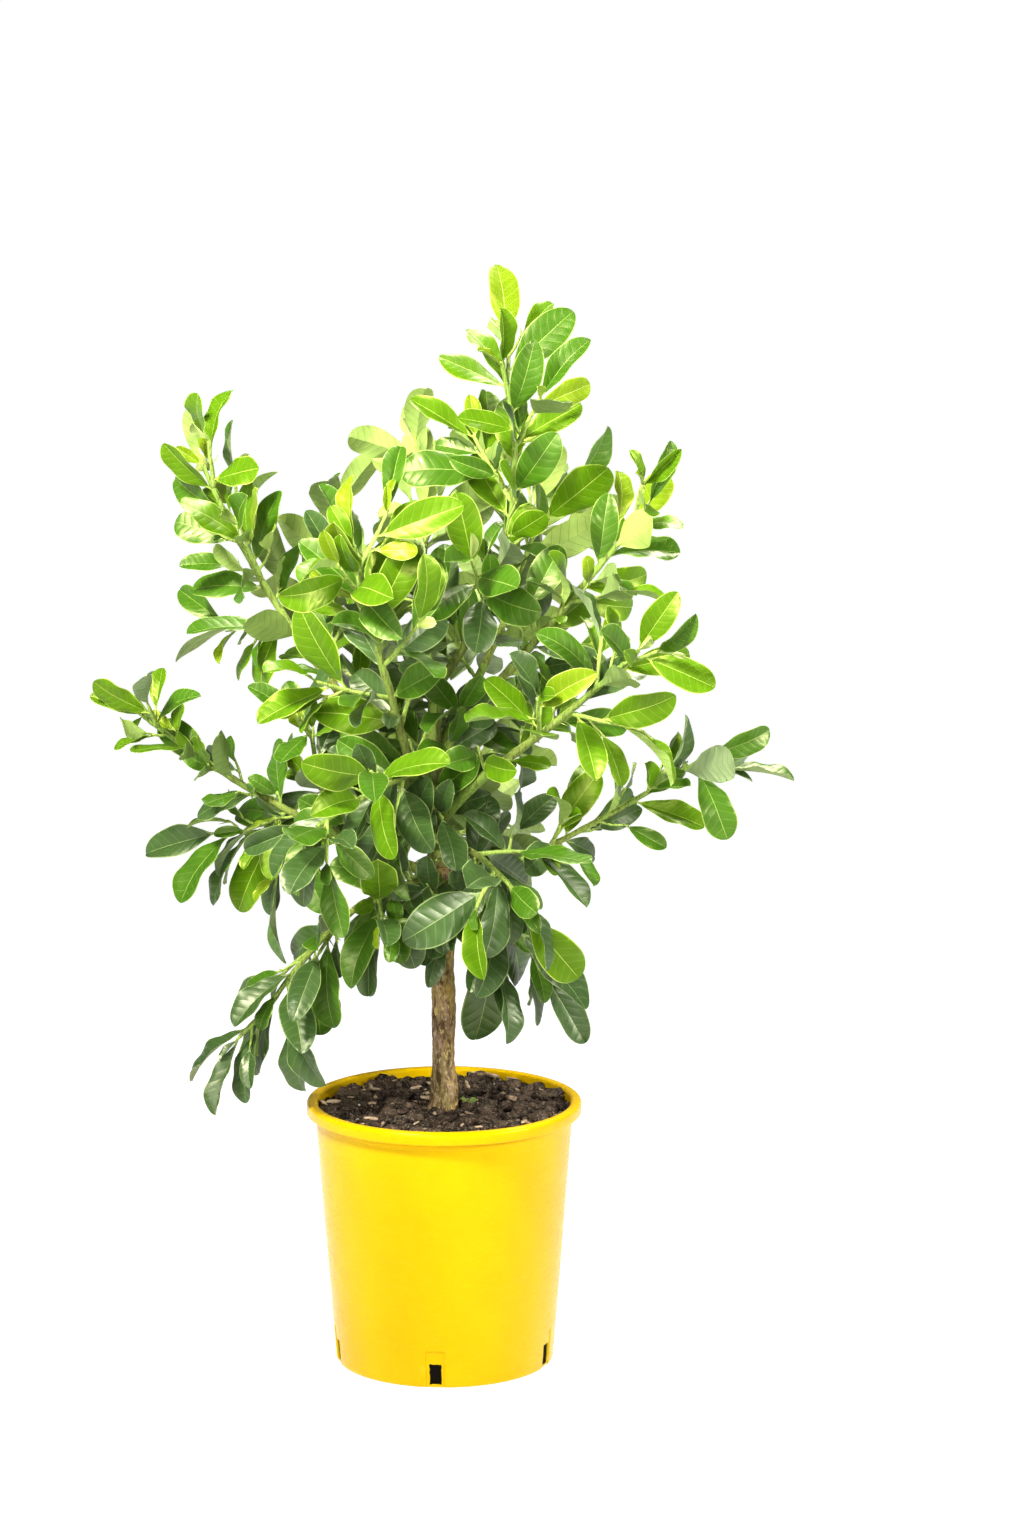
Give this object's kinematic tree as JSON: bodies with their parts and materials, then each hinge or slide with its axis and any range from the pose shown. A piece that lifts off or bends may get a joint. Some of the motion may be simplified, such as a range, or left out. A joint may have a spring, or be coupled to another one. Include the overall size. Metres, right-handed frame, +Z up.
{
  "type": "potted buddhas hand citron tree",
  "caption": "Young citron tree with one bare trunk and an open, leafy crown, standing in a round yellow nursery pot filled with soil.",
  "frame": {"origin": "centre of the pot's flat underside, which is the mount base", "axes": "+Z up along the trunk, -Y to the front as pictured, +X to the viewer's right"},
  "size_m": [0.7521, 0.6032, 1.1909],
  "materials": {
    "pot": "satin to glossy moulded yellow",
    "soil": "dark crumbly potting soil",
    "bark": "tan bark with fine fissures",
    "green_wood": "smooth green young bark",
    "leaf": "waxy leaves, bright above and dark below"
  },
  "bodies": {
    "root": {"pot": "pot", "soil": "soil", "trunk": "bark", "leader": "green_wood", "bough_upper_right": "green_wood", "bough_right": "green_wood", "bough_far_right": "green_wood", "bough_low_right": "green_wood", "bough_front_left": "green_wood", "bough_upper_left": "green_wood", "bough_left": "green_wood", "bough_left_mid": "green_wood", "bough_low_left": "green_wood", "bough_front": "green_wood", "bough_front_right": "green_wood", "bough_hanging_left": "green_wood", "bough_back_left": "green_wood", "bough_back_right": "green_wood", "bough_back_top": "green_wood", "bough_back_mid": "green_wood", "bough_back_low": "green_wood", "bough_low_front": "green_wood", "foliage_crown_top": "leaf", "foliage_upper_right": "leaf", "foliage_right": "leaf", "foliage_far_right": "leaf", "foliage_low_right": "leaf", "foliage_front_left": "leaf", "foliage_upper_left": "leaf", "foliage_far_left": "leaf", "foliage_left_mid": "leaf", "foliage_low_left": "leaf", "foliage_front": "leaf", "foliage_front_right": "leaf", "foliage_hanging_left": "leaf", "foliage_low_centre": "leaf", "foliage_low_front": "leaf", "foliage_back_left": "leaf", "foliage_back_right": "leaf", "foliage_back_top": "leaf", "foliage_back_mid": "leaf", "foliage_back_low": "leaf"}
  },
  "joints": []
}
